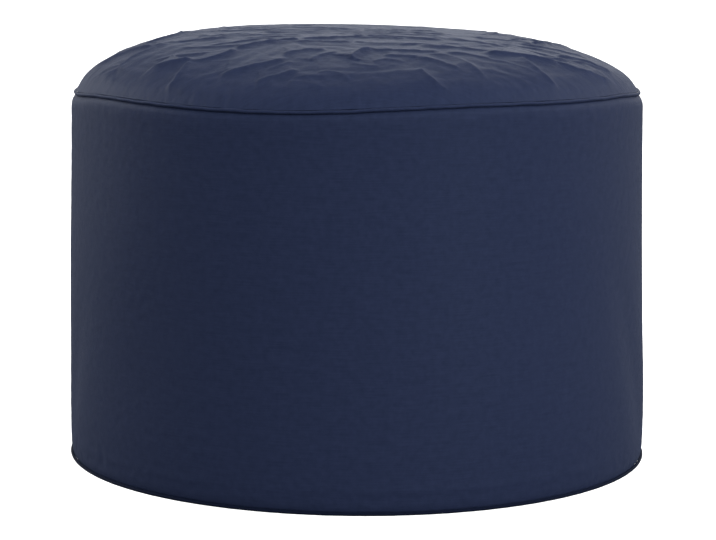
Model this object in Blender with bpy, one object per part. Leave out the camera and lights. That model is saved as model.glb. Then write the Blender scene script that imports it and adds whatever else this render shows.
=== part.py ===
# A drum-shaped bean bag: a round top panel, a side band and a round base panel, sewn together
# over their filling, with a narrow self-cloth welt in each of the two seams.
# Metres, +Z up. The origin is the centre of the flat base, on the floor, and the front is -Y.

import math
from bisect import bisect_right
from collections import namedtuple

import bmesh
import bpy
from mathutils import Matrix, Vector

# Driving sizes
SEAM_HEIGHT = 0.322  # floor to the top seam, on average
CROWN_RISE = 0.0481  # top seam to the top of the crown
TOP_SEAM_RADIUS = 0.2461  # centre line of the top welt
BOTTOM_SEAM_RADIUS = 0.2516  # centre line of the bottom welt
BOTTOM_SEAM_HEIGHT = 0.0017
WELT_RADIUS = 0.0014
GAP = 0.0003  # between pieces that are sewn to each other

# Each seam is a groove that holds its welt: two lips outside, one root inside
LIP_INSET = 0.0009  # from the welt's centre line in to the edge of a panel
LIP_OFFSET = 0.0016  # from the seam up or down to the edge of a panel
ROOT_INSET = 0.0025  # from the welt's centre line in to the stitching
BED_INSET = 0.022  # from the welt's centre line in to where the filling lies flat
BED_DROP = 0.004  # how far the flat bed of the filling lies inside the seam
TOP_BED_GAP = 0.0006  # between the two beds under the top seam, which bends round its groove

# How finely the round shapes are divided
SIDES = 84  # steps round the side band, the base and the welts
CROWN_RINGS = 28  # rings of the top panel, which has six points a ring
WELT_SIDES = 6

# The crown falls slowly from its middle and fast to its foot, and is a little fuller on the left
CROWN_FLATNESS = 3.0
CROWN_SHOULDER = 0.565
CROWN_SHELF = 0.0010  # from the panel's edge in to the crown's foot
CROWN_LEAN = -0.077  # share of the rise that is added at the right edge and taken away at the left
FOLD_SPREAD = 0.8  # how far folds near the seam lie further down the crown's front
FOLD_FADE = 0.05  # share of the radius at the edge where folds die away
FOLD_BLEND = 4  # how far the higher of two folds hides the lower one

# The side band between its lips, a row for each level
Level = namedtuple("Level", "height radius")
SIDE_LEVELS = [
    Level(0.0080, 0.2519),
    Level(0.0200, 0.2526),
    Level(0.0450, 0.2527),
    Level(0.0800, 0.2522),
    Level(0.1200, 0.2514),
    Level(0.1600, 0.2505),
    Level(0.2000, 0.2497),
    Level(0.2400, 0.2489),
    Level(0.2750, 0.2482),
    Level(0.3000, 0.2478),
    Level(0.3110, 0.2473),
    Level(0.3165, 0.2464),
]

# The hand-filled bag stands unevenly, so the top seam dips and lifts, and is drawn in at the
# sides: a row for each bend of it
Bend = namedtuple("Bend", "azimuth lift draw")
SEAM_BENDS = [
    Bend(20, -0.0026, 0.0030),
    Bend(62, -0.0012, 0.0),
    Bend(108, 0.0012, 0.0),
    Bend(155, -0.0026, 0.0012),
    Bend(176, -0.0042, 0.0018),
    Bend(188, -0.0034, 0.0016),
    Bend(214, 0.0, 0.0),
    Bend(252, -0.0030, 0.0),
    Bend(294, 0.0022, 0.0),
    Bend(330, 0.0012, 0.0004),
    Bend(356, -0.0034, 0.0040),
]

# Folds of the crown, a row for each: a ridge through three places in plan, its rise, and how
# wide its flanks are on the left and on the right of the way from its start to its end
Fold = namedtuple("Fold", "start middle end rise left right")
CROWN_FOLDS = [
    # The long crease across the front
    Fold((-0.178, -0.140), (-0.158, -0.135), (-0.137, -0.136), 0.0042, 0.021, 0.010),
    Fold((-0.144, -0.135), (-0.124, -0.146), (-0.098, -0.127), 0.0026, 0.014, 0.009),
    Fold((-0.106, -0.131), (-0.079, -0.111), (-0.044, -0.099), 0.0024, 0.015, 0.009),
    Fold((-0.055, -0.103), (-0.023, -0.090), (0.010, -0.072), 0.0022, 0.014, 0.009),
    Fold((-0.004, -0.075), (0.036, -0.074), (0.074, -0.087), 0.0020, 0.014, 0.009),
    # Front left
    Fold((-0.137, -0.140), (-0.147, -0.163), (-0.154, -0.182), 0.0030, 0.018, 0.009),
    Fold((-0.203, -0.093), (-0.182, -0.074), (-0.158, -0.066), 0.0030, 0.013, 0.009),
    Fold((-0.229, -0.024), (-0.204, -0.024), (-0.172, -0.050), 0.0026, 0.014, 0.009),
    Fold((-0.183, -0.042), (-0.159, -0.059), (-0.130, -0.073), 0.0018, 0.011, 0.009),
    # Front middle
    Fold((-0.114, -0.183), (-0.090, -0.177), (-0.056, -0.170), 0.0026, 0.016, 0.009),
    Fold((-0.084, -0.204), (-0.068, -0.198), (-0.046, -0.194), 0.0020, 0.011, 0.009),
    Fold((-0.035, -0.204), (-0.023, -0.201), (-0.006, -0.217), 0.0016, 0.010, 0.009),
    Fold((-0.064, -0.159), (-0.047, -0.150), (-0.026, -0.151), 0.0018, 0.012, 0.009),
    Fold((-0.009, -0.180), (-0.002, -0.156), (0.010, -0.145), 0.0026, 0.012, 0.009),
    Fold((0.000, -0.148), (0.030, -0.149), (0.068, -0.144), 0.0020, 0.013, 0.009),
    Fold((0.016, -0.171), (0.038, -0.167), (0.065, -0.178), 0.0018, 0.011, 0.009),
    Fold((-0.092, -0.042), (-0.041, -0.020), (0.010, -0.004), 0.0016, 0.014, 0.011),
    Fold((-0.004, -0.011), (0.036, -0.023), (0.084, -0.032), 0.0016, 0.014, 0.011),
    # Front right
    Fold((0.042, -0.121), (0.076, -0.120), (0.124, -0.121), 0.0016, 0.011, 0.009),
    Fold((0.098, -0.128), (0.134, -0.116), (0.167, -0.110), 0.0034, 0.020, 0.010),
    Fold((0.155, -0.110), (0.183, -0.105), (0.214, -0.093), 0.0026, 0.015, 0.009),
    Fold((0.160, -0.088), (0.188, -0.068), (0.214, -0.070), 0.0022, 0.011, 0.009),
    Fold((0.130, -0.124), (0.143, -0.148), (0.162, -0.173), 0.0034, 0.010, 0.018),
    Fold((0.050, -0.163), (0.076, -0.161), (0.100, -0.199), 0.0022, 0.009, 0.013),
    Fold((0.047, -0.193), (0.055, -0.208), (0.073, -0.230), 0.0028, 0.009, 0.016),
    # Back, guessed from the front, and low where the far side of the crown makes its outline
    Fold((0.226, 0.030), (0.178, 0.032), (0.122, 0.052), 0.0016, 0.011, 0.020),
    Fold((0.190, 0.118), (0.150, 0.106), (0.098, 0.112), 0.0022, 0.020, 0.011),
    Fold((0.150, 0.180), (0.126, 0.150), (0.112, 0.128), 0.0030, 0.010, 0.016),
    Fold((0.078, 0.220), (0.062, 0.186), (0.066, 0.150), 0.0030, 0.010, 0.017),
    Fold((0.056, 0.122), (0.010, 0.134), (-0.040, 0.120), 0.0012, 0.020, 0.011),
    Fold((-0.012, 0.228), (-0.020, 0.196), (-0.008, 0.160), 0.0028, 0.010, 0.016),
    Fold((-0.088, 0.214), (-0.084, 0.180), (-0.060, 0.154), 0.0032, 0.010, 0.018),
    Fold((-0.164, 0.164), (-0.136, 0.144), (-0.096, 0.138), 0.0032, 0.011, 0.020),
    Fold((-0.214, 0.086), (-0.176, 0.084), (-0.126, 0.098), 0.0022, 0.011, 0.020),
    Fold((-0.224, 0.020), (-0.184, 0.032), (-0.138, 0.028), 0.0014, 0.010, 0.018),
]
FOLD_STEPS = 10  # straight runs that a fold's curve is followed in

# Hollows of the side band, a row for each: where it lies, how wide and tall, how deep, and how far
# its top leans round the band
Hollow = namedtuple("Hollow", "azimuth height half_width half_height depth lean")
SIDE_HOLLOWS = [
    Hollow(340, 0.085, 0.024, 0.075, 0.0022, -0.030),
    Hollow(2, 0.060, 0.022, 0.060, 0.0020, -0.026),
    Hollow(196, 0.075, 0.022, 0.065, 0.0018, 0.022),
    Hollow(8, 0.262, 0.026, 0.040, 0.0014, 0.010),
    Hollow(176, 0.230, 0.030, 0.060, 0.0014, -0.012),
    Hollow(228, 0.120, 0.050, 0.100, 0.0012, 0.018),
    Hollow(300, 0.190, 0.060, 0.090, 0.0010, -0.020),
    Hollow(48, 0.110, 0.034, 0.085, 0.0020, 0.028),
    Hollow(84, 0.215, 0.040, 0.070, 0.0016, -0.022),
    Hollow(122, 0.080, 0.032, 0.070, 0.0020, 0.026),
    Hollow(152, 0.160, 0.036, 0.090, 0.0016, -0.024),
]

NAVY_CLOTH = (0.021, 0.028, 0.060, 1.0)
NAVY_WELT = (0.019, 0.026, 0.056, 1.0)
CLOTH_ROUGHNESS = 0.52
SMOOTH_ANGLE = math.radians(40)


def clear_scene():
    for thing in list(bpy.data.objects):
        bpy.data.objects.remove(thing, do_unlink=True)


def cloth(name, colour):
    material = bpy.data.materials.new(name)
    material.use_nodes = True
    shader = material.node_tree.nodes["Principled BSDF"]
    shader.inputs["Base Color"].default_value = colour
    shader.inputs["Roughness"].default_value = CLOTH_ROUGHNESS
    shader.inputs["Metallic"].default_value = 0.0
    return material


def ease(share):
    """0 to 1 with level ends, for a share that may lie outside 0 to 1."""
    share = max(0.0, min(1.0, share))
    return share * share * (3 - 2 * share)


def smooth_bend(turn):
    """The lift and the draw of the top seam at an angle in degrees."""
    after = bisect_right([bend.azimuth for bend in SEAM_BENDS], turn)
    low, high = SEAM_BENDS[after - 1], SEAM_BENDS[after % len(SEAM_BENDS)]
    span = (high.azimuth - low.azimuth) % 360
    share = ease(((turn - low.azimuth) % 360) / span)
    return Vector((low.lift, low.draw)).lerp(Vector((high.lift, high.draw)), share)


def seam_bend(azimuth):
    """The same at an angle in radians, in straight runs, so that finer and coarser rings agree."""
    step = (azimuth % math.tau) / math.tau * SIDES
    before = math.floor(step)
    low, high = (smooth_bend((before + more) * 360 / SIDES % 360) for more in (0, 1))
    return low.lerp(high, step - before)


def spread(place):
    """A fold's place moved to the front, by more near the seam, where the crown falls steeply."""
    x, y = place
    reach = math.hypot(x, y) / TOP_SEAM_RADIUS
    shift = FOLD_SPREAD * reach**8 * (1 - reach) * min(2.0, reach * TOP_SEAM_RADIUS / abs(y))
    return Vector((x, y - shift * TOP_SEAM_RADIUS if y < 0 else y))


def fold_curve(fold):
    """Places along the curve that passes through a fold's start, middle and end."""
    start, middle, end = spread(fold.start), spread(fold.middle), spread(fold.end)
    pull = 2 * middle - (start + end) / 2
    shares = [step / FOLD_STEPS for step in range(FOLD_STEPS + 1)]
    return [start * (1 - s) ** 2 + pull * 2 * s * (1 - s) + end * s * s for s in shares]


def fold_height(fold, curve, place):
    """The rise of one fold at a place in plan: highest on its curve, with its own two flanks."""
    nearest, along, flank = math.inf, 0.0, fold.left
    for step in range(FOLD_STEPS):
        run = curve[step + 1] - curve[step]
        share = max(0.0, min(1.0, (place - curve[step]).dot(run) / run.length_squared))
        away = place - (curve[step] + run * share)
        if away.length < nearest:
            nearest = away.length
            along = (step + share) / FOLD_STEPS
            flank = fold.left if run.cross(away) > 0 else fold.right
    taper = max(0.0, math.sin(math.pi * along)) ** 0.7
    return fold.rise * taper * math.exp(-((nearest / flank) ** 1.4))


def crown_height(place, lip_radius, curves):
    """The top of the crown above the floor at a place in plan."""
    foot = min(1.0, place.length / (lip_radius - CROWN_SHELF))
    lean = 1 + CROWN_LEAN * place.x / (lip_radius - CROWN_SHELF)
    dome = (CROWN_RISE - LIP_OFFSET) * lean * (1 - foot**CROWN_FLATNESS) ** CROWN_SHOULDER
    rises = [fold_height(fold, curve, place) for fold, curve in zip(CROWN_FOLDS, curves)]
    folds = sum(rise**FOLD_BLEND for rise in rises) ** (1 / FOLD_BLEND)
    edge = ease((1 - place.length / lip_radius) / FOLD_FADE)
    return SEAM_HEIGHT + LIP_OFFSET + dome + folds * edge


def side_push(azimuth, height):
    """How far the hollows draw the side band in, at an angle in radians and a height."""
    push = 0.0
    for hollow in SIDE_HOLLOWS:
        up = (height - hollow.height) / hollow.half_height
        turn = azimuth - math.radians(hollow.azimuth)
        turn = math.atan2(math.sin(turn), math.cos(turn))
        across = (turn * TOP_SEAM_RADIUS - hollow.lean * up) / hollow.half_width
        push += hollow.depth * math.exp(-(across**2) - up**2)
    return push


def finish(name, mesh, material):
    """A named object from a bmesh, with its faces outwards and shaded smooth."""
    bmesh.ops.recalc_face_normals(mesh, faces=mesh.faces)
    data = bpy.data.meshes.new(name)
    mesh.to_mesh(data)
    mesh.free()
    data.shade_smooth()
    data.set_sharp_from_angle(angle=SMOOTH_ANGLE)
    data.materials.append(material)
    thing = bpy.data.objects.new(name, data)
    bpy.context.scene.collection.objects.link(thing)
    return thing


def turned(levels):
    """A solid of revolution through rings of (radius, height), its two ends closed flat."""
    mesh = bmesh.new()
    points = [mesh.verts.new((level.radius, 0.0, level.height)) for level in levels]
    edges = [mesh.edges.new(pair) for pair in zip(points, points[1:])]
    bmesh.ops.spin(
        mesh, geom=points + edges, axis=(0, 0, 1), cent=(0, 0, 0),
        angle=math.tau, steps=SIDES, use_merge=True, use_duplicate=False,
    )
    bmesh.ops.holes_fill(mesh, edges=mesh.edges, sides=0)
    return mesh


def round_grid(rings):
    """A flat disc of radius 1 in even triangles, with six more points in each ring than the last."""
    mesh = bmesh.new()
    sector = math.tau / 6
    bmesh.ops.create_circle(
        mesh, cap_ends=True, cap_tris=True, segments=6, radius=1.0,
        matrix=Matrix.Rotation(sector / 2, 4, "Z"),
    )
    bmesh.ops.subdivide_edges(mesh, edges=mesh.edges, cuts=rings - 1, use_grid_fill=True)
    for vert in mesh.verts:
        reach = vert.co.xy.length
        if reach < 1e-6:
            continue
        turn = math.atan2(vert.co.y, vert.co.x) % math.tau
        within = turn % sector - sector / 2
        across = math.tan(within) / math.tan(sector / 2) / 2 + 0.5
        share = reach * math.cos(within) / math.cos(sector / 2)
        even = (turn // sector + across) * sector
        vert.co = Vector((math.cos(even), math.sin(even), 0.0)) * share
    return mesh


def open_rim(mesh):
    return [edge for edge in mesh.edges if edge.is_boundary]


def drawn_in(mesh, edges, radius, height, follow):
    """Extrudes the open rim to a new ring. The ring follows the seam's bends by that share."""
    made = bmesh.ops.extrude_edge_only(mesh, edges=edges)["geom"]
    for vert in (item for item in made if isinstance(item, bmesh.types.BMVert)):
        azimuth = math.atan2(vert.co.y, vert.co.x)
        lift, draw = seam_bend(azimuth) * follow
        out = Vector((math.cos(azimuth), math.sin(azimuth), 0.0)) * (radius - draw)
        vert.co = out + Vector((0.0, 0.0, height + lift))
    return [item for item in made if isinstance(item, bmesh.types.BMEdge) and item.is_boundary]


def top_panel(material):
    """The crowned, creased top, with the filling under it down to a flat bed inside the band."""
    mesh = round_grid(CROWN_RINGS)
    lip_radius = TOP_SEAM_RADIUS - LIP_INSET
    curves = [fold_curve(fold) for fold in CROWN_FOLDS]
    for vert in mesh.verts:
        share, place = vert.co.xy.length, vert.co.xy * lip_radius
        lift, draw = seam_bend(math.atan2(place.y, place.x))
        height = crown_height(place, lip_radius, curves) + lift * ease((share - 0.55) / 0.45)
        place *= 1 - draw / lip_radius * ease((share - 0.5) / 0.5)
        vert.co = (place.x, place.y, height)
    root = drawn_in(
        mesh, open_rim(mesh), TOP_SEAM_RADIUS - ROOT_INSET, SEAM_HEIGHT + GAP / 2, 1.0
    )
    bed = drawn_in(
        mesh, root, TOP_SEAM_RADIUS - BED_INSET, SEAM_HEIGHT - BED_DROP + TOP_BED_GAP / 2, 0.0
    )
    bmesh.ops.holes_fill(mesh, edges=bed, sides=0)
    return finish("top_panel", mesh, material)


def side_panel(material):
    """The upright side band, filled: bowed a little, with soft hollows between its two seams."""
    low_lip = Level(BOTTOM_SEAM_HEIGHT + LIP_OFFSET, BOTTOM_SEAM_RADIUS - LIP_INSET)
    low_root = Level(BOTTOM_SEAM_HEIGHT + GAP / 2, BOTTOM_SEAM_RADIUS - ROOT_INSET)
    low_bed = Level(BOTTOM_SEAM_HEIGHT + BED_DROP + GAP / 2, BOTTOM_SEAM_RADIUS - BED_INSET)
    high_lip = Level(SEAM_HEIGHT - LIP_OFFSET, TOP_SEAM_RADIUS - LIP_INSET)
    high_root = Level(SEAM_HEIGHT - GAP / 2, TOP_SEAM_RADIUS - ROOT_INSET)
    high_bed = Level(SEAM_HEIGHT - BED_DROP - TOP_BED_GAP / 2, TOP_SEAM_RADIUS - BED_INSET)
    mesh = turned([low_bed, low_root, low_lip, *SIDE_LEVELS, high_lip, high_root, high_bed])
    for vert in mesh.verts:
        radius, azimuth = vert.co.xy.length, math.atan2(vert.co.y, vert.co.x)
        if radius < BOTTOM_SEAM_RADIUS - BED_INSET + GAP:
            continue
        share = vert.co.z / SEAM_HEIGHT
        away_from_seams = ease(share / 0.08) * ease((1 - share) / 0.06)
        lift, draw = seam_bend(azimuth)
        radius -= side_push(azimuth, vert.co.z) * away_from_seams + draw * ease((share - 0.94) / 0.055)
        height = vert.co.z + lift * ease((share - 0.5) / 0.46)
        vert.co = (math.cos(azimuth) * radius, math.sin(azimuth) * radius, height)
    return finish("side_panel", mesh, material)


def bottom_panel(material):
    """The round base, flat on the floor, with the filling on it up to its bed."""
    foot = Level(0.0, BOTTOM_SEAM_RADIUS - ROOT_INSET - LIP_INSET)
    root = Level(BOTTOM_SEAM_HEIGHT - GAP / 2, BOTTOM_SEAM_RADIUS - ROOT_INSET)
    bed = Level(BOTTOM_SEAM_HEIGHT + BED_DROP - GAP / 2, BOTTOM_SEAM_RADIUS - BED_INSET)
    return finish("bottom_panel", turned([foot, root, bed]), material)


def welt(name, radius, height, follow, material):
    """A thin cord of cloth round a seam, which follows the top seam's bends by that share."""
    mesh = bmesh.new()
    upright = Matrix.Translation((radius, 0.0, height)) @ Matrix.Rotation(math.pi / 2, 4, "X")
    made = bmesh.ops.create_circle(
        mesh, segments=WELT_SIDES, radius=WELT_RADIUS, matrix=upright
    )
    bmesh.ops.spin(
        mesh, geom=made["verts"] + list(mesh.edges), axis=(0, 0, 1), cent=(0, 0, 0),
        angle=math.tau, steps=SIDES, use_merge=True, use_duplicate=False,
    )
    for vert in mesh.verts:
        lift, draw = seam_bend(math.atan2(vert.co.y, vert.co.x)) * follow
        inward = 1 - draw / vert.co.xy.length
        vert.co = (vert.co.x * inward, vert.co.y * inward, vert.co.z + lift)
    return finish(name, mesh, material)


def main():
    clear_scene()
    panel_cloth = cloth("navy_cloth", NAVY_CLOTH)
    welt_cloth = cloth("navy_welt", NAVY_WELT)
    bottom_panel(panel_cloth)
    side_panel(panel_cloth)
    top_panel(panel_cloth)
    welt("bottom_welt", BOTTOM_SEAM_RADIUS, BOTTOM_SEAM_HEIGHT, 0.0, welt_cloth)
    welt("top_welt", TOP_SEAM_RADIUS, SEAM_HEIGHT, 1.0, welt_cloth)


main()
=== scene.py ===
import math
import random

import bmesh
import bpy
import numpy as np
from mathutils import Matrix, Vector


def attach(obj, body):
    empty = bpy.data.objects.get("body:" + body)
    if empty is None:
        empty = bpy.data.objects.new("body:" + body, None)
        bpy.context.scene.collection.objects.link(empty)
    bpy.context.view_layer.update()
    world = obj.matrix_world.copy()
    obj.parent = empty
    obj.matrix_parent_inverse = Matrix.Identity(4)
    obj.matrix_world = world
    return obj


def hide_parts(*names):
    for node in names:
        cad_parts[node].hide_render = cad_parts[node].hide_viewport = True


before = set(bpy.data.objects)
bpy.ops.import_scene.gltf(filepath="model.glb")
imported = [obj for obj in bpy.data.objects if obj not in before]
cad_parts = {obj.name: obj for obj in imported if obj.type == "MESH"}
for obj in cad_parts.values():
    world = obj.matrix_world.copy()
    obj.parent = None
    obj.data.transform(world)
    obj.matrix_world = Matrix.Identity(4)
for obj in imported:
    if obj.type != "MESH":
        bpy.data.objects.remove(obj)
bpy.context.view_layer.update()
print("frame loaded:", sorted(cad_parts))

# The bag as a whole, the same sizes as its solids
bag = {
    "seamHeight": 0.322,
    "topSeamRadius": 0.2461,
    "bottomSeamRadius": 0.2516,
    "bottomSeamHeight": 0.0017,
    "lipInset": 0.0009,
    "lipOffset": 0.0016,
    "lowLipOffset": 0.0012,
    "rootInset": 0.0024,
    "leanLeft": 0.0017,
    "tiltUp": 0.0035,
    "leanStart": 0.06,
    "leanOver": 0.14,
    "clothRadius": 0.25,
    "bedInset": 0.022,
    "bedDrop": 0.004,
    "gap": 0.0003,
    # azimuth in degrees, how far the top seam stands above its average height, how far it is drawn in
    "seamBends": [
        (20, -0.0026, 0.0022), (62, -0.0012, 0.0), (108, 0.0012, 0.0), (155, -0.0026, 0.0014),
        (176, -0.0044, 0.0018), (188, -0.0038, 0.0016), (214, 0.0010, 0.0), (252, -0.0016, 0.0),
        (294, 0.0035, 0.0), (330, 0.0018, 0.0002), (356, -0.0032, 0.0020),
    ],
}


def ease(share):
    share = np.clip(share, 0.0, 1.0)
    return share * share * (3 - 2 * share)


def seamBend(azimuth):
    # the hand-filled bag stands unevenly, so its top seam dips, lifts and is drawn in
    bends = bag["seamBends"]
    turn = np.degrees(azimuth) % 360
    lift, draw = np.zeros_like(turn), np.zeros_like(turn)
    for (low, *start), (high, *end) in zip(bends, bends[1:] + bends[:1]):
        span = (high - low) % 360
        along = (turn - low) % 360
        inside = along < span
        share = ease(along[inside] / span)
        lift[inside] = start[0] + (end[0] - start[0]) * share
        draw[inside] = start[1] + (end[1] - start[1]) * share
    return lift, draw


def ringNoise(azimuth, seed, waves, strength):
    # uneven but closed all round: a sum of whole waves with seeded phases
    dice = random.Random(seed)
    total = np.zeros_like(azimuth)
    for count in waves:
        total += dice.uniform(0.5, 1.0) * np.sin(count * azimuth + dice.uniform(0, math.tau))
    return total * strength / math.sqrt(len(waves))


def gathers(azimuth, count, seeds, waves, level, swing):
    # the uneven puckers of a sewn edge
    wander = ringNoise(azimuth, seeds[0], range(3, 31, 3), 2.2)
    return np.sin(count * azimuth + wander) * (level + ringNoise(azimuth, seeds[1], waves, swing))


def nearSeam(distance, reach):
    # full just off the seam, nothing at the seam itself or far from it
    share = np.clip(distance, 0, None) / reach
    return np.exp(-share * 2.2) * ease(share / 0.12)


def readPoints(data):
    points = np.empty(len(data.vertices) * 3)
    data.vertices.foreach_get("co", points)
    return points.reshape(-1, 3)


def writePoints(data, points):
    data.vertices.foreach_set("co", points.ravel())
    data.update()


def newPiece(name, mesh):
    data = bpy.data.meshes.new(name)
    mesh.to_mesh(data)
    mesh.free()
    piece = bpy.data.objects.new(name, data)
    bpy.context.scene.collection.objects.link(piece)
    return piece


def applyModifiers(piece):
    bpy.context.view_layer.update()
    evaluated = piece.evaluated_get(bpy.context.evaluated_depsgraph_get())
    data = bpy.data.meshes.new_from_object(evaluated)
    piece.modifiers.clear()
    old, piece.data = piece.data, data
    bpy.data.meshes.remove(old)
    data.name = piece.name


def subdivided(piece, levels):
    finer = piece.modifiers.new("finer", "SUBSURF")
    finer.levels = finer.render_levels = levels
    applyModifiers(piece)


def settleCloth(piece, held, cloth, calm=1.0):
    # fills the cloth from inside and lets it buckle, then limits how far any point has gone
    scene = bpy.context.scene
    start = readPoints(piece.data)
    group = piece.vertex_groups.new(name="held")
    for index, weight in enumerate(held):
        group.add([index], float(weight), "REPLACE")
    filling = piece.modifiers.new("filling", "CLOTH")
    settings = filling.settings
    settings.quality = cloth["quality"]
    settings.mass = cloth["mass"]
    settings.tension_stiffness = cloth["stretch"]
    settings.compression_stiffness = cloth["squeeze"]
    settings.shear_stiffness = cloth["shear"]
    settings.bending_stiffness = cloth["bending"]
    settings.shrink_min = -cloth["slack"]
    settings.use_pressure = True
    settings.uniform_pressure_force = cloth["pressure"]
    settings.effector_weights.gravity = 0
    settings.vertex_group_mass = group.name
    settings.pin_stiffness = cloth["holding"]
    filling.point_cache.frame_start = 1
    filling.point_cache.frame_end = cloth["frames"]
    for step in range(1, cloth["frames"] + 1):
        scene.frame_set(step)
    applyModifiers(piece)
    scene.frame_set(1)
    piece.vertex_groups.clear()
    moved = readPoints(piece.data) - start
    length = np.linalg.norm(moved, axis=1)
    limit = np.minimum(1.0, cloth["cap"] * calm / np.maximum(length, 1e-9))
    writePoints(piece.data, start + moved * limit[:, None])
    usual, most = length.mean() * 1000, length.max() * 1000
    print(f"{piece.name} settled, {usual:.2f} mm on average, {most:.1f} at most")


def leaned(points):
    # the upper half of the bag stands a little to the left of its base, and a touch higher on its right
    upper = ease((points[:, 2] - bag["leanStart"]) / bag["leanOver"])
    points[:, 2] += bag["tiltUp"] * points[:, 0] * upper
    points[:, 0] -= bag["leanLeft"] * upper
    return points


def openRim(mesh):
    return [edge for edge in mesh.edges if edge.is_boundary]


def drawnIn(mesh, edges, radius, height, follow):
    # extrudes an open rim to a new ring, which follows the top seam's bends by a share
    made = bmesh.ops.extrude_edge_only(mesh, edges=edges)["geom"]
    verts = [item for item in made if isinstance(item, bmesh.types.BMVert)]
    azimuths = np.array([math.atan2(vert.co.y, vert.co.x) for vert in verts])
    for vert, azimuth, lift, draw in zip(verts, azimuths, *seamBend(azimuths)):
        reach = radius - draw * follow
        vert.co = (math.cos(azimuth) * reach, math.sin(azimuth) * reach, height + lift * follow)
    return [item for item in made if isinstance(item, bmesh.types.BMEdge) and item.is_boundary]


def finished(piece, material, nodeName):
    data = piece.data
    writePoints(data, leaned(readPoints(data)))
    data.shade_smooth()
    data.set_sharp_from_angle(angle=math.radians(50))
    data.materials.clear()
    data.materials.append(material)
    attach(piece, "root")
    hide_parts(nodeName)
    return piece


def turnBack(angle):
    return np.arctan2(np.sin(angle), np.cos(angle))


def clothPlaces(data, place):
    # a UV map in metres of cloth: place reads each corner's vertex, its point and its face's middle
    corners = np.empty(len(data.loops), np.int32)
    data.loops.foreach_get("vertex_index", corners)
    counts = np.empty(len(data.polygons), np.int32)
    data.polygons.foreach_get("loop_total", counts)
    middles = np.empty(len(data.polygons) * 3)
    data.polygons.foreach_get("center", middles)
    middles = np.repeat(middles.reshape(-1, 3), counts, axis=0)
    across, up = place(readPoints(data)[corners], middles)
    layer = data.uv_layers.new(name="cloth")
    layer.data.foreach_set("uv", np.column_stack((across, up)).ravel())


def flatPlace(points, middles):
    return points[:, 0], points[:, 1]


def bandPlace(points, middles):
    # unrolled round the band from its closing seam, with no jump inside a face
    turn = np.arctan2(middles[:, 0], -middles[:, 1])
    away = turnBack(np.arctan2(points[:, 0], -points[:, 1]) - turn)
    return (turn + away) * bag["clothRadius"], points[:, 2]


def addNode(tree, kind, label="", **values):
    node = tree.nodes.new(kind)
    if label:
        node.label = label
    for key, value in values.items():
        setattr(node, key, value)
    return node


def wire(tree, source, target):
    tree.links.new(source, target)


def math2(tree, operation, first, second=None):
    node = addNode(tree, "ShaderNodeMath", operation=operation)
    for socket, value in zip(node.inputs, (first, second)):
        if value is None:
            continue
        if isinstance(value, (int, float)):
            socket.default_value = value
        else:
            wire(tree, value, socket)
    return node.outputs[0]


weaving = {
    "driftScale": 70.0,
    "warpHeight": 0.75,
    "weftSunk": 0.5,
    "ribRun": 40.0,
    "ribStep": 0.8,
    "cloudScale": 160.0,
    "cloudDetail": 4.0,
    "cloudRoughness": 0.65,
}


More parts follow.
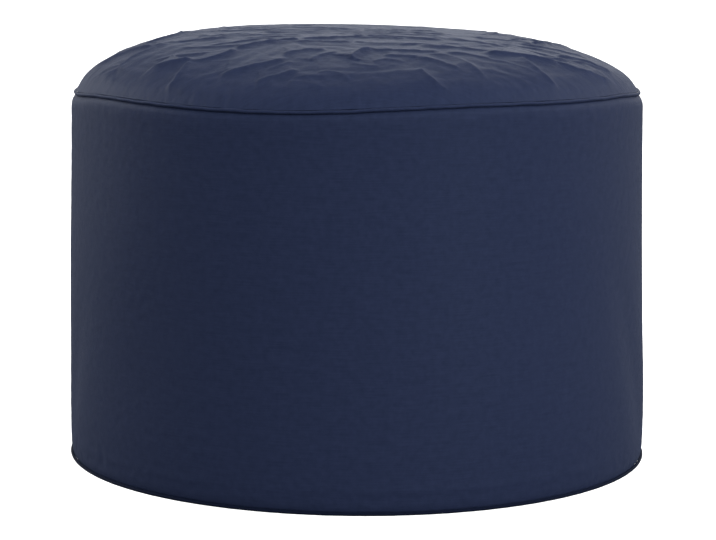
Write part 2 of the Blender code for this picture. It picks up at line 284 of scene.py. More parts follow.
def buildWeave():
    # ribbed plain weave: fine warp threads under and over rounder weft threads
    group = bpy.data.node_groups.new("ribbedWeave", "ShaderNodeTree")
    for name, kind, value in (
        ("Place", "NodeSocketVector", None),
        ("Warp Pitch", "NodeSocketFloat", 0.00045),
        ("Weft Pitch", "NodeSocketFloat", 0.00065),
        ("Wander", "NodeSocketFloat", 0.0006),
    ):
        socket = group.interface.new_socket(name=name, in_out="INPUT", socket_type=kind)
        if value is not None:
            socket.default_value = value
    for name in ("Height", "Rib", "Cloud"):
        group.interface.new_socket(name=name, in_out="OUTPUT", socket_type="NodeSocketFloat")
    source = addNode(group, "NodeGroupInput")
    target = addNode(group, "NodeGroupOutput")

    drift = addNode(group, "ShaderNodeTexNoise", noise_dimensions="2D")
    drift.inputs["Scale"].default_value = weaving["driftScale"]
    drift.inputs["Detail"].default_value = 2.0
    wire(group, source.outputs["Place"], drift.inputs["Vector"])
    centred = addNode(group, "ShaderNodeVectorMath", operation="SUBTRACT")
    wire(group, drift.outputs["Color"], centred.inputs[0])
    centred.inputs[1].default_value = (0.5, 0.5, 0.5)
    scaled = addNode(group, "ShaderNodeVectorMath", operation="SCALE")
    wire(group, centred.outputs[0], scaled.inputs[0])
    wire(group, source.outputs["Wander"], scaled.inputs["Scale"])
    place = addNode(group, "ShaderNodeVectorMath", operation="ADD")
    wire(group, source.outputs["Place"], place.inputs[0])
    wire(group, scaled.outputs[0], place.inputs[1])
    parts = addNode(group, "ShaderNodeSeparateXYZ")
    wire(group, place.outputs[0], parts.inputs[0])

    across = math2(group, "DIVIDE", parts.outputs["X"], source.outputs["Warp Pitch"])
    up = math2(group, "DIVIDE", parts.outputs["Y"], source.outputs["Weft Pitch"])
    warp = math2(group, "ABSOLUTE", math2(group, "SINE", math2(group, "MULTIPLY", across, math.pi)))
    weft = math2(group, "ABSOLUTE", math2(group, "SINE", math2(group, "MULTIPLY", up, math.pi)))
    both = math2(group, "ADD", math2(group, "FLOOR", across), math2(group, "FLOOR", up))
    over = math2(group, "PINGPONG", both, 1.0)
    warpTop = math2(group, "MULTIPLY", math2(group, "MULTIPLY", warp, over), weaving["warpHeight"])
    sunk = math2(group, "MULTIPLY", over, weaving["weftSunk"])
    weftTop = math2(group, "MULTIPLY", weft, math2(group, "SUBTRACT", 1.0, sunk))
    height = math2(group, "MAXIMUM", warpTop, weftTop)
    wire(group, height, target.inputs["Height"])

    # each weft thread is a little lighter or darker along its length
    thread = addNode(group, "ShaderNodeCombineXYZ")
    wire(group, math2(group, "MULTIPLY", parts.outputs["X"], weaving["ribRun"]), thread.inputs["X"])
    wire(group, math2(group, "MULTIPLY", up, weaving["ribStep"]), thread.inputs["Y"])
    rib = addNode(group, "ShaderNodeTexNoise", noise_dimensions="2D")
    rib.inputs["Scale"].default_value = 1.0
    rib.inputs["Detail"].default_value = 1.0
    wire(group, thread.outputs[0], rib.inputs["Vector"])
    wire(group, rib.outputs["Fac"], target.inputs["Rib"])

    cloud = addNode(group, "ShaderNodeTexNoise", noise_dimensions="2D")
    cloud.inputs["Scale"].default_value = weaving["cloudScale"]
    cloud.inputs["Detail"].default_value = weaving["cloudDetail"]
    cloud.inputs["Roughness"].default_value = weaving["cloudRoughness"]
    wire(group, place.outputs[0], cloud.inputs["Vector"])
    wire(group, cloud.outputs["Fac"], target.inputs["Cloud"])
    return group


def clothMaterial(name, weave, look):
    material = bpy.data.materials.new(name)
    material.use_nodes = True
    tree = material.node_tree
    shader = tree.nodes["Principled BSDF"]
    place = addNode(tree, "ShaderNodeUVMap", uv_map="cloth")
    threads = addNode(tree, "ShaderNodeGroup", node_tree=weave)
    threads.inputs["Warp Pitch"].default_value = look["warpPitch"]
    threads.inputs["Weft Pitch"].default_value = look["weftPitch"]
    threads.inputs["Wander"].default_value = look["wander"]
    wire(tree, place.outputs["UV"], threads.inputs["Place"])

    # colour: painted shade, deep between the threads and lighter on their crowns, with the weft threads'
    # own tone varying, clouded over a few millimetres
    shade = math2(tree, "MULTIPLY", threads.outputs["Height"], look["threadPaintedShade"])
    shade = math2(tree, "ADD", shade, math2(tree, "MULTIPLY", threads.outputs["Rib"], look["ribShade"]))
    shade = math2(tree, "ADD", shade, math2(tree, "MULTIPLY", threads.outputs["Cloud"], look["cloudShade"]))
    ramp = addNode(tree, "ShaderNodeMapRange")
    ramp.inputs["From Min"].default_value = look["deepBelow"]
    ramp.inputs["From Max"].default_value = look["lightAbove"]
    wire(tree, shade, ramp.inputs["Value"])
    colour = addNode(tree, "ShaderNodeMix", data_type="RGBA")
    colour.inputs["A"].default_value = look["deep"]
    colour.inputs["B"].default_value = look["light"]
    wire(tree, ramp.outputs["Result"], colour.inputs["Factor"])
    wire(tree, colour.outputs["Result"], shader.inputs["Base Color"])

    roughness = addNode(tree, "ShaderNodeMapRange")
    roughness.inputs["To Min"].default_value = look["roughness"] + look["roughSwing"]
    roughness.inputs["To Max"].default_value = look["roughness"] - look["roughSwing"]
    wire(tree, threads.outputs["Cloud"], roughness.inputs["Value"])
    wire(tree, roughness.outputs["Result"], shader.inputs["Roughness"])

    crumple = addNode(tree, "ShaderNodeTexNoise", "crumple", noise_dimensions="2D")
    crumple.inputs["Scale"].default_value = look["crumpleScale"]
    crumple.inputs["Detail"].default_value = 3.0
    wire(tree, place.outputs["UV"], crumple.inputs["Vector"])
    soft = addNode(tree, "ShaderNodeBump")
    soft.inputs["Strength"].default_value = 1.0
    soft.inputs["Distance"].default_value = look["crumpleDepth"]
    wire(tree, crumple.outputs["Fac"], soft.inputs["Height"])
    fine = addNode(tree, "ShaderNodeBump")
    fine.inputs["Strength"].default_value = look["threadStrength"]
    fine.inputs["Distance"].default_value = look["threadDepth"]
    wire(tree, threads.outputs["Height"], fine.inputs["Height"])
    wire(tree, soft.outputs["Normal"], fine.inputs["Normal"])
    wire(tree, fine.outputs["Normal"], shader.inputs["Normal"])

    shader.inputs["Metallic"].default_value = 0.0
    shader.inputs["Specular IOR Level"].default_value = look["specular"]
    shader.inputs["Specular Tint"].default_value = look["specularTint"]
    shader.inputs["Sheen Weight"].default_value = look["sheen"]
    shader.inputs["Sheen Roughness"].default_value = look["sheenRoughness"]
    shader.inputs["Sheen Tint"].default_value = look["sheenTint"]
    return material


panelLook = {
    "deep": (0.019, 0.029, 0.073, 1.0),
    "light": (0.034, 0.047, 0.111, 1.0),
    # how much painted shade falls between the threads
    "threadPaintedShade": 0.35,
    "ribShade": 0.35,
    "cloudShade": 0.5,
    "deepBelow": 0.3,
    "lightAbove": 0.85,
    "roughness": 0.45,
    "roughSwing": 0.05,
    "specular": 0.15,
    "sheen": 0.1,
    "sheenRoughness": 0.35,
    "sheenTint": (0.5, 0.66, 1.0, 1.0),
    "specularTint": (0.62, 0.76, 1.0, 1.0),
    "warpPitch": 0.00045,
    "weftPitch": 0.00065,
    "wander": 0.0006,
    "threadDepth": 0.00010,
    "threadStrength": 0.7,
    "crumpleScale": 110.0,
    "crumpleDepth": 0.0006,
}
bandLook = dict(panelLook, crumpleDepth=0.00025)
weltLook = dict(panelLook, crumpleScale=420.0, crumpleDepth=0.0003)
# the lower welt's cloth is about a third as bright, with less sheen and specular: painted shade for the
# shadow it lies in along the floor
weltPaintedShadeLook = dict(
    weltLook, deep=(0.006, 0.010, 0.026, 1.0), light=(0.011, 0.016, 0.040, 1.0), sheen=0.02, specular=0.03,
)
weave = buildWeave()
panelCloth = clothMaterial("navyPanelCloth", weave, panelLook)
bandCloth = clothMaterial("navyBandCloth", weave, bandLook)
weltCloth = clothMaterial("navyWeltCloth", weave, weltLook)
weltPaintedShadeCloth = clothMaterial("navyWeltPaintedShade", weave, weltPaintedShadeLook)
print("cloth materials made")


# The crowned top panel
crown = {
    "rings": 36,
    "rise": 0.0492,
    "flatness": 3.0,
    "shoulder": 0.565,
    "shelf": 0.0010,
    "lean": -0.095,
    # shares of the radius: where the seam's bends and its drawing in begin, and over how much they grow
    "liftStart": 0.55,
    "liftOver": 0.45,
    "drawStart": 0.5,
    "drawOver": 0.5,
    # how much finer the grid is towards the front
    "gridLean": 0.15,
    # how the folds' places, read off the photograph, are put on the crown
    "foldSpread": 0.8,
    "sightSlope": 0.075,
    "viewDistance": 2.2,
    "foldShift": 0.016,
    "foldRight": 0.0026,
    "frontLimit": 0.04,
    "rimMargin": 0.008,
    "foldFade": 0.030,
    "foldScale": 1.0,
    "wideScale": 1.7,
    "sharpness": 1.12,
    "blend": 4.0,
    "taper": 0.16,
    "crestRound": 0.0006,
    # folds that rise less than this many millimetres have a lower crest line
    "fullRise": 2.5,
    "crestHeight": 0.0009,
    "crestWidth": 0.0013,
    # the crown's far side as seen from the front: its place in the middle, its width, how smooth it is
    "skylineReach": 0.105,
    "skylineWidth": 0.058,
    "skylineCalm": 0.93,
    "puckers": 150,
    "puckerDepth": 0.00012,
    "puckerReach": 0.010,
    "cloth": {
        "quality": 6, "mass": 0.12, "stretch": 25, "squeeze": 25, "shear": 8, "bending": 0.12,
        "slack": 0.004, "pressure": 1.0, "holding": 1.0, "frames": 20, "cap": 0.0016,
    },
    # how firmly the shape is held while it settles, in the middle and towards the rim
    "hold": 0.5,
    "rimHold": 0.8,
    "rimStart": 0.93,
    "rimOver": 0.07,
}

# Folds seen in the photograph: start x, y, middle x, y, end x, y, rise, width of the left flank and of
# the right flank, all in millimetres
crownFolds = [
    # the long crease from the left edge across to the right
    (-171, -129, -156, -132, -137, -136, 4.2, 22, 7),
    (-144, -135, -124, -146, -98, -127, 2.2, 9, 4),
    (-106, -131, -79, -111, -44, -99, 1.8, 10, 4),
    (-55, -103, -23, -90, 10, -72, 1.6, 7, 4),
    (-4, -75, 36, -74, 74, -87, 1.4, 9, 4),
    # left
    (-137, -140, -147, -163, -154, -182, 2.6, 13, 4),
    (-227, -88, -217, -76, -196, -91, 1.2, 6, 3),
    (-205, -97, -182, -74, -158, -66, 2.2, 4, 13),
    (-236, -60, -223, -86, -199, -96, 1.8, 3, 9),
    (-169, -68, -139, -69, -105, -77, 1.3, 7, 3),
    (-229, -24, -204, -24, -172, -50, 2.8, 9, 4),
    (-183, -42, -159, -59, -130, -73, 1.2, 7, 3),
    (-221, -90, -208, -93, -188, -100, 1.0, 4, 3),
    (-232, -79, -230, -58, -216, -48, 1.0, 4, 3),
    (-155, -93, -122, -114, -82, -123, 1.0, 7, 3),
    (-172, -115, -150, -122, -116, -135, 1.0, 6, 3),
    # middle
    (-114, -183, -90, -177, -56, -170, 2.2, 11, 5),
    (-84, -204, -68, -198, -46, -194, 1.5, 7, 4),
    (-76, -191, -65, -183, -54, -177, 1.0, 4, 3),
    (-55, -206, -41, -205, -25, -209, 0.9, 6, 3),
    (-58, -209, -44, -213, -28, -223, 0.7, 5, 3),
    (-35, -204, -23, -201, -6, -217, 1.2, 6, 4),
    (-64, -159, -47, -150, -26, -151, 1.3, 8, 4),
    (-41, -182, -33, -167, -15, -159, 1.0, 5, 3),
    (-9, -180, -2, -156, 10, -145, 2.4, 8, 4),
    (0, -148, 30, -149, 68, -144, 1.5, 8, 4),
    (-9, -186, 3, -192, 16, -194, 0.9, 5, 3),
    (8, -188, 21, -179, 36, -186, 1.0, 5, 3),
    (16, -171, 38, -167, 65, -178, 1.4, 7, 3),
    (-92, -42, -41, -20, 10, -4, 1.2, 8, 5),
    (-4, -11, 36, -23, 84, -32, 1.2, 8, 5),
    (-9, -111, 14, -122, 39, -110, 0.9, 5, 3),
    # right
    (48, -74, 82, -71, 126, -90, 1.0, 6, 3),
    (42, -121, 76, -120, 124, -121, 1.2, 7, 4),
    (98, -128, 134, -116, 167, -110, 3.6, 18, 6),
    (155, -110, 183, -105, 214, -93, 2.4, 11, 5),
    (145, -110, 180, -85, 210, -69, 1.2, 5, 3),
    (160, -88, 188, -68, 214, -70, 1.8, 6, 4),
    (113, -74, 145, -72, 178, -70, 1.0, 5, 3),
    (131, -52, 159, -50, 197, -36, 1.2, 5, 3),
    (130, -124, 143, -148, 162, -173, 3.0, 7, 13),
    (99, -154, 122, -154, 145, -164, 1.1, 8, 9),
    (50, -163, 76, -161, 100, -199, 1.6, 6, 9),
    (43, -171, 61, -175, 81, -190, 1.5, 7, 4),
    (47, -193, 55, -208, 73, -230, 2.6, 6, 12),
    (67, -146, 88, -145, 110, -154, 1.3, 7, 4),
    (28, -126, 56, -116, 93, -128, 1.0, 6, 3),
]


def spreadPlace(x, y):
    # folds near the seam lie further down the front, where the crown falls steeply
    reach = math.hypot(x, y) * 0.001 / bag["topSeamRadius"]
    shift = crown["foldSpread"] * reach ** 8 * (1 - reach) * min(2.0, math.hypot(x, y) / max(abs(y), 1e-6))
    return np.array((x * 0.001, y * 0.001 - (shift * bag["topSeamRadius"] if y < 0 else 0.0)))


def domeRise(places):
    # the plain crown above its lip, without any folds
    rim = bag["topSeamRadius"] - bag["lipInset"] - crown["shelf"]
    radius = np.linalg.norm(places, axis=1)
    domed = (1 - np.minimum(1.0, radius / rim) ** crown["flatness"]) ** crown["shoulder"]
    return (crown["rise"] - bag["lipOffset"]) * domed * (1 + crown["lean"] * places[:, 0] / rim)


def foldTaper(along):
    return ease(along / crown["taper"]) * ease((1 - along) / crown["taper"])


def nearerPlace(place, rise):
    # a raised crest is seen over a place behind it, so it lies that much nearer to the viewer
    if place[1] > crown["frontLimit"]:
        return place
    column = np.full((40, 2), place[0])
    column[:, 1] = place[1] - np.linspace(0, crown["foldShift"], 40)
    seen = domeRise(column) + crown["sightSlope"] * column[:, 1]
    inside = np.linalg.norm(column, axis=1) < bag["topSeamRadius"] - crown["rimMargin"]
    under = inside & (seen > seen[0] - rise)
    nearer = column[under, 1].min() if under.any() else place[1]
    narrower = 1 - (place[1] - nearer) / crown["viewDistance"]
    return np.array((place[0] * narrower + crown["foldRight"], nearer))


def foldCurve(row):
    start, middle, end = (spreadPlace(*row[i:i + 2]) for i in (0, 2, 4))
    pull = 2 * middle - (start + end) / 2
    shares = np.linspace(0, 1, 17)[:, None]
    curve = start * (1 - shares) ** 2 + pull * 2 * shares * (1 - shares) + end * shares ** 2
    rises = row[6] * 0.001 * crown["foldScale"] * foldTaper(shares[:, 0])
    return np.array([nearerPlace(place, rise) for place, rise in zip(curve, rises)])


def nearestOnCurve(places, curve):
    nearest = np.full(len(places), np.inf)
    along = np.zeros(len(places))
    left = np.zeros(len(places), bool)
    steps = len(curve) - 1
    for step in range(steps):
        run = curve[step + 1] - curve[step]
        offset = places - curve[step]
        share = np.clip(offset @ run / (run @ run), 0, 1)
        away = offset - share[:, None] * run
        distance = np.linalg.norm(away, axis=1)
        closer = distance < nearest
        nearest[closer] = distance[closer]
        along[closer] = (step + share[closer]) / steps
        left[closer] = (run[0] * away[:, 1] - run[1] * away[:, 0])[closer] > 0
    return nearest, along, left


def nearCurve(places, curve, reach):
    low, high = curve.min(axis=0) - reach, curve.max(axis=0) + reach
    return np.nonzero(((places > low) & (places < high)).all(axis=1))[0]


def foldRelief(places, rows):
    # each fold tents the cloth, and where two meet the higher one shows
    relief = np.zeros(len(places))
    crest = np.zeros(len(places))
    for row in rows:
        rise, leftFlank, rightFlank = row[6] * 0.001, row[7] * 0.001, row[8] * 0.001
        if leftFlank > rightFlank:
            leftFlank *= crown["wideScale"]
        else:
            rightFlank *= crown["wideScale"]
        curve = foldCurve(row)
        near = nearCurve(places, curve, max(leftFlank, rightFlank) * 4.5)
        nearest, along, left = nearestOnCurve(places[near], curve)
        taper = foldTaper(along)
        flank = np.where(left, leftFlank, rightFlank) * (0.5 + 0.5 * taper)
        nearest = np.sqrt(nearest ** 2 + crown["crestRound"] ** 2) - crown["crestRound"]
        body = rise * taper * np.exp(-((nearest / flank) ** crown["sharpness"]))
        relief[near] += body ** crown["blend"]
        sharp = min(1.0, row[6] / crown["fullRise"])
        line = crown["crestHeight"] * sharp * taper * np.exp(-nearest / crown["crestWidth"])
        crest[near] = np.maximum(crest[near], line)
    return relief ** (1 / crown["blend"]), crest


def skylineCalm(places):
    # the cloth is drawn smooth along the crown's far side
    skyline = crown["skylineReach"] * (1 - (places[:, 0] / bag["topSeamRadius"]) ** 2)
    return 1 - crown["skylineCalm"] * np.exp(-(((places[:, 1] - skyline) / crown["skylineWidth"]) ** 2))


# Folds of the back half, in millimetres and radians: ranges to draw from
backLook = {
    "seed": 41,
    "count": 34,
    "radii": (130, 160, 185, 205, 220),
    "lean": (0.25, 1.45),
    "length": (34, 78),
    "outerShare": 0.75,
    "bend": (-8, 8),
    "limit": 232,
    "narrow": (4, 6),
    "wide": (9, 15),
    "rise": (1.4, 3.4),
}


def backFolds():
    dice = random.Random(backLook["seed"])
    rows = []
    for number in range(backLook["count"]):
        azimuth = math.radians(2 + number * 176 / (backLook["count"] - 1) + dice.uniform(-3, 3))
        radius = dice.choice(backLook["radii"]) + dice.uniform(-8, 8)
        lean = dice.choice((-1, 1)) * dice.uniform(*backLook["lean"])
        length = dice.uniform(*backLook["length"]) * (backLook["outerShare"] if radius > 200 else 1.0)
        bend = dice.uniform(*backLook["bend"])
        middle = np.array((math.cos(azimuth), math.sin(azimuth))) * radius
        inward = -middle / np.linalg.norm(middle)
        sideways = np.array((-inward[1], inward[0]))
        run = (inward * math.cos(lean) + sideways * math.sin(lean)) * length / 2
        start, end = middle - run, middle + run
        middle = middle + sideways * bend
        start *= min(1.0, backLook["limit"] / np.linalg.norm(start))
        end *= min(1.0, backLook["limit"] / np.linalg.norm(end))
        flanks = (dice.uniform(*backLook["narrow"]), dice.uniform(*backLook["wide"]))
        if dice.random() < 0.5:
            flanks = flanks[::-1]
        rows.append((*start, *middle, *end, dice.uniform(*backLook["rise"]), *flanks))
    return rows


# Long shallow creases from side to side over the middle of the crown, in millimetres and radians
fineLook = {
    "seed": 17,
    "count": 54,
    "front": -118,
    "depth": 225,
    "radius": 225,
    "halfLength": (18, 46),
    "lean": (-0.22, 0.22),
    "bend": (-5, 5),
    "rise": (0.5, 1.2),
    "leftFlank": (3, 8),
    "rightFlank": (2.5, 4.5),
}


def fineFolds():
    dice = random.Random(fineLook["seed"])
    rows = []
    for number in range(fineLook["count"]):
        y = fineLook["front"] + fineLook["depth"] * (number + dice.uniform(-0.4, 0.4)) / fineLook["count"]
        reach = math.sqrt(fineLook["radius"] ** 2 - y ** 2)
        x = dice.uniform(-1, 1) * reach * 0.85
        half = dice.uniform(*fineLook["halfLength"])
        lean = dice.uniform(*fineLook["lean"]) - 0.10 * x / 200
        bend = dice.uniform(*fineLook["bend"])
        start = (x - half * math.cos(lean), y - half * math.sin(lean))
        end = (x + half * math.cos(lean), y + half * math.sin(lean))
        flanks = (dice.uniform(*fineLook["leftFlank"]), dice.uniform(*fineLook["rightFlank"]))
        rows.append((*start, x, y + bend, *end, dice.uniform(*fineLook["rise"]), *flanks))
    return rows


def roundGrid(rings):
    mesh = bmesh.new()
    sector = math.tau / 6
    bmesh.ops.create_circle(
        mesh, cap_ends=True, cap_tris=True, segments=6, radius=1.0,
        matrix=Matrix.Rotation(sector / 2, 4, "Z"),
    )
    bmesh.ops.subdivide_edges(mesh, edges=mesh.edges, cuts=rings - 1, use_grid_fill=True)
    for vert in mesh.verts:
        reach = vert.co.xy.length
        if reach < 1e-6:
            continue
        turn = math.atan2(vert.co.y, vert.co.x) % math.tau
        within = turn % sector - sector / 2
        across = math.tan(within) / math.tan(sector / 2) / 2 + 0.5
        share = reach * math.cos(within) / math.cos(sector / 2)
        even = (turn // sector + across) * sector
        vert.co = Vector((math.cos(even), math.sin(even), 0.0)) * share
    return mesh


def makeCrown():
    lipRadius = bag["topSeamRadius"] - bag["lipInset"]
    piece = newPiece("crownPanel", roundGrid(crown["rings"]))
    points = readPoints(piece.data)
    # the grid is finer towards the front, where the folds are seen
    points[:, 1] -= crown["gridLean"] * (1 - (points[:, :2] ** 2).sum(axis=1))
    points[:, :2] *= lipRadius
    places = points[:, :2]
    radius = np.linalg.norm(places, axis=1)
    azimuth = np.arctan2(places[:, 1], places[:, 0])
    share = np.minimum(1.0, radius / lipRadius)
    lift, draw = seamBend(azimuth)
    lifted = lift * ease((share - crown["liftStart"]) / crown["liftOver"])
    points[:, 2] = bag["seamHeight"] + bag["lipOffset"] + domeRise(places) + lifted
    drawn = draw / lipRadius * ease((share - crown["drawStart"]) / crown["drawOver"])
    points[:, :2] *= 1 - drawn[:, None]
    writePoints(piece.data, points)

    nearRim = crown["rimHold"] * ease((share - crown["rimStart"]) / crown["rimOver"])
    held = np.where(share > 0.9995, 1.0, crown["hold"] + (1 - crown["hold"]) * nearRim)
    settleCloth(piece, held, crown["cloth"], skylineCalm(places))
    subdivided(piece, 2)

    points = readPoints(piece.data)
    places = points[:, :2]
    radius = np.linalg.norm(places, axis=1)
    azimuth = np.arctan2(places[:, 1], places[:, 0])
    rimRadius = lipRadius - seamBend(azimuth)[1]
    folds = crownFolds + fineFolds() + backFolds()
    relief, crest = foldRelief(places, folds)
    edge = ease((1 - radius / rimRadius) / crown["foldFade"])
    calm = skylineCalm(places)
    points[:, 2] += (relief + crest * calm) * edge * calm * crown["foldScale"]
    # small puckers that the stitching draws into the edge
    gather = gathers(azimuth, crown["puckers"], (5, 6), (4, 7, 11, 17, 26), 0.55, 0.45)
    points[:, 2] += crown["puckerDepth"] * gather * nearSeam(rimRadius - radius, crown["puckerReach"])
    writePoints(piece.data, points)

    # the filling under it, down to the flat bed inside the band
    mesh = bmesh.new()
    mesh.from_mesh(piece.data)
    root = drawnIn(
        mesh, openRim(mesh), bag["topSeamRadius"] - bag["rootInset"],
        bag["seamHeight"] + bag["gap"] / 2, 1.0,
    )
    bed = drawnIn(
        mesh, root, bag["topSeamRadius"] - bag["bedInset"],
        bag["seamHeight"] - bag["bedDrop"] + bag["gap"] / 2, 0.0,
    )
    bmesh.ops.holes_fill(mesh, edges=bed, sides=0)
    bmesh.ops.recalc_face_normals(mesh, faces=mesh.faces)
    mesh.to_mesh(piece.data)
    mesh.free()
    clothPlaces(piece.data, flatPlace)
    finished(piece, panelCloth, "top_panel")
    print("crown panel made:", len(piece.data.polygons), "faces")
    return piece


makeCrown()


# The side band
band = {
    "sides": 320,
    # height and radius of the plain band between its lips
    "levels": [
        (0.0080, 0.2519), (0.0200, 0.2526), (0.0450, 0.2527), (0.0800, 0.2522), (0.1200, 0.2514),
        (0.1600, 0.2505), (0.2000, 0.2497), (0.2400, 0.2489), (0.2750, 0.2482), (0.3000, 0.2479),
        (0.3110, 0.2478), (0.3165, 0.2473),
    ],
    "rowHeight": 0.0052,
    # how much the rows crowd towards the two seams, where the cloth turns in
    "rowCrowding": 0.055,
    # shares of the height: where the hollows fade, how the top seam's bends and drawing in reach down
    "lowFade": 0.08,
    "highFade": 0.06,
    "liftStart": 0.5,
    "liftOver": 0.46,
    "drawStart": 0.97,
    "drawOver": 0.025,
    "puckers": 210,
    "puckerDepth": 0.00022,
    "puckerReach": 0.013,
    "cloth": {
        "quality": 6, "mass": 0.12, "stretch": 30, "squeeze": 30, "shear": 10, "bending": 0.6,
        "slack": 0.003, "pressure": 1.5, "holding": 1.0, "frames": 20, "cap": 0.0025,
    },
    "hold": 0.3,
    # the closing seam at the back: its groove, the hollow round it and its stitches
    "backSeamDepth": 0.0007,
    "backSeamWidth": 0.0016,
    "sinkDepth": 0.0006,
    "sinkWidth": 0.010,
    "stitchLength": 0.0075,
    "stitchDepth": 0.35,
    "seamEnd": 0.004,
}

# Hollows of the band: azimuth, height, half width, half height, depth, lean of its top round the band
bandHollows = [
    (340, 0.085, 0.024, 0.075, 0.0022, -0.030),
    (2, 0.060, 0.022, 0.060, 0.0020, -0.026),
    (196, 0.075, 0.022, 0.065, 0.0018, 0.022),
    (8, 0.262, 0.026, 0.040, 0.0014, 0.010),
    (176, 0.230, 0.030, 0.060, 0.0014, -0.012),
    (228, 0.120, 0.050, 0.100, 0.0012, 0.018),
    (300, 0.190, 0.060, 0.090, 0.0010, -0.020),
    (48, 0.110, 0.034, 0.085, 0.0020, 0.028),
    (84, 0.215, 0.040, 0.070, 0.0016, -0.022),
    (122, 0.080, 0.032, 0.070, 0.0020, 0.026),
    (152, 0.160, 0.036, 0.090, 0.0016, -0.024),
]


def hollowDepth(azimuth, height):
    depth = np.zeros_like(azimuth)
    for degrees, middle, halfWidth, halfHeight, deep, lean in bandHollows:
        up = (height - middle) / halfHeight
        turn = azimuth - math.radians(degrees)
        turn = np.arctan2(np.sin(turn), np.cos(turn))
        across = (turn * bag["topSeamRadius"] - lean * up) / halfWidth
        depth += deep * np.exp(-(across ** 2) - up ** 2)
    return depth


def lathed(levels, sides):
    # an open surface of revolution through (height, radius) levels
    mesh = bmesh.new()
    points = [mesh.verts.new((radius, 0.0, height)) for height, radius in levels]
    edges = [mesh.edges.new(pair) for pair in zip(points, points[1:])]
    bmesh.ops.spin(
        mesh, geom=points + edges, axis=(0, 0, 1), cent=(0, 0, 0),
        angle=math.tau, steps=sides, use_merge=True, use_duplicate=False,
    )
    return mesh


def makeBand():
    lowLip = (bag["bottomSeamHeight"] + bag["lowLipOffset"], bag["bottomSeamRadius"] - bag["lipInset"])
    highLip = (bag["seamHeight"] - bag["lipOffset"], bag["topSeamRadius"] - bag["lipInset"])
    profile = [lowLip, *band["levels"], highLip]
    heights = np.array([level[0] for level in profile])
    radii = np.array([level[1] for level in profile])
    rows = round((highLip[0] - lowLip[0]) / band["rowHeight"])
    shares = np.linspace(0, 1, rows + 1)
    shares = shares - band["rowCrowding"] * np.sin(shares * math.tau)
    rowHeights = lowLip[0] + (highLip[0] - lowLip[0]) * shares
    rowRadii = np.interp(rowHeights, heights, radii)
    piece = newPiece("bandPanel", lathed(list(zip(rowHeights, rowRadii)), band["sides"]))
    points = readPoints(piece.data)
    radius = np.linalg.norm(points[:, :2], axis=1)
    azimuth = np.arctan2(points[:, 1], points[:, 0])
    height = points[:, 2].copy()
    share = height / bag["seamHeight"]
    clear = ease(share / band["lowFade"]) * ease((1 - share) / band["highFade"])
    lift, draw = seamBend(azimuth)
    drawn = draw * ease((share - band["drawStart"]) / band["drawOver"])
    radius = radius - hollowDepth(azimuth, height) * clear - drawn
    points[:, 0] = np.cos(azimuth) * radius
    points[:, 1] = np.sin(azimuth) * radius
    points[:, 2] = height + lift * ease((share - band["liftStart"]) / band["liftOver"])
    writePoints(piece.data, points)

    ends = (height < lowLip[0] + 1e-5) | (height > highLip[0] - 1e-5)
    settleCloth(piece, np.where(ends, 1.0, band["hold"]), band["cloth"])
    subdivided(piece, 1)

    points = readPoints(piece.data)
    radius = np.linalg.norm(points[:, :2], axis=1)
    azimuth = np.arctan2(points[:, 1], points[:, 0])
    height = points[:, 2]
    top = bag["seamHeight"] - bag["lipOffset"] + seamBend(azimuth)[0]
    for distance, seeds in ((height - lowLip[0], (11, 21)), (top - height, (12, 22))):
        gather = gathers(azimuth, band["puckers"], seeds, (3, 8, 13, 19, 29), 0.5, 0.5)
        radius = radius + band["puckerDepth"] * gather * nearSeam(distance, band["puckerReach"])
    # the closing seam of the band, down the middle of the back
    across = (azimuth - math.pi / 2) * bag["clothRadius"]
    groove = band["backSeamDepth"] * np.exp(-np.abs(across / band["backSeamWidth"]))
    sink = band["sinkDepth"] * np.exp(-((across / band["sinkWidth"]) ** 2))
    stitch = 1 + band["stitchDepth"] * np.sin(height * math.tau / band["stitchLength"])
    away = ease((height - lowLip[0]) / band["seamEnd"]) * ease((top - height) / band["seamEnd"])
    radius = radius - (groove + sink) * stitch * away
    points[:, 0] = np.cos(azimuth) * radius
    points[:, 1] = np.sin(azimuth) * radius
    writePoints(piece.data, points)

    mesh = bmesh.new()
    mesh.from_mesh(piece.data)
    halfHeight = bag["seamHeight"] / 2
    upper = [edge for edge in openRim(mesh) if edge.verts[0].co.z > halfHeight]
    lower = [edge for edge in openRim(mesh) if edge.verts[0].co.z < halfHeight]
    half = bag["gap"] / 2
    root = drawnIn(mesh, upper, bag["topSeamRadius"] - bag["rootInset"], bag["seamHeight"] - half, 1.0)
    bed = drawnIn(
        mesh, root, bag["topSeamRadius"] - bag["bedInset"], bag["seamHeight"] - bag["bedDrop"] - half, 0.0
    )
    bmesh.ops.holes_fill(mesh, edges=bed, sides=0)
    root = drawnIn(
        mesh, lower, bag["bottomSeamRadius"] - bag["rootInset"], bag["bottomSeamHeight"] + half, 0.0
    )
    bed = drawnIn(
        mesh, root, bag["bottomSeamRadius"] - bag["bedInset"],
        bag["bottomSeamHeight"] + bag["bedDrop"] + half, 0.0,
    )
    bmesh.ops.holes_fill(mesh, edges=bed, sides=0)
    bmesh.ops.recalc_face_normals(mesh, faces=mesh.faces)
    mesh.to_mesh(piece.data)
    mesh.free()
    clothPlaces(piece.data, bandPlace)
    finished(piece, bandCloth, "side_panel")
    print("side band made:", len(piece.data.polygons), "faces")
    return piece


makeBand()


# The base panel and the two welts
base = {"sides": 320, "turnRadius": 0.0006}
welt = {
    "radius": 0.0014,
    "sides": 14,
    "steps": 640,
    "wobble": 0.00022,
    "swell": 0.05,
    "slant": 0.7071,
}


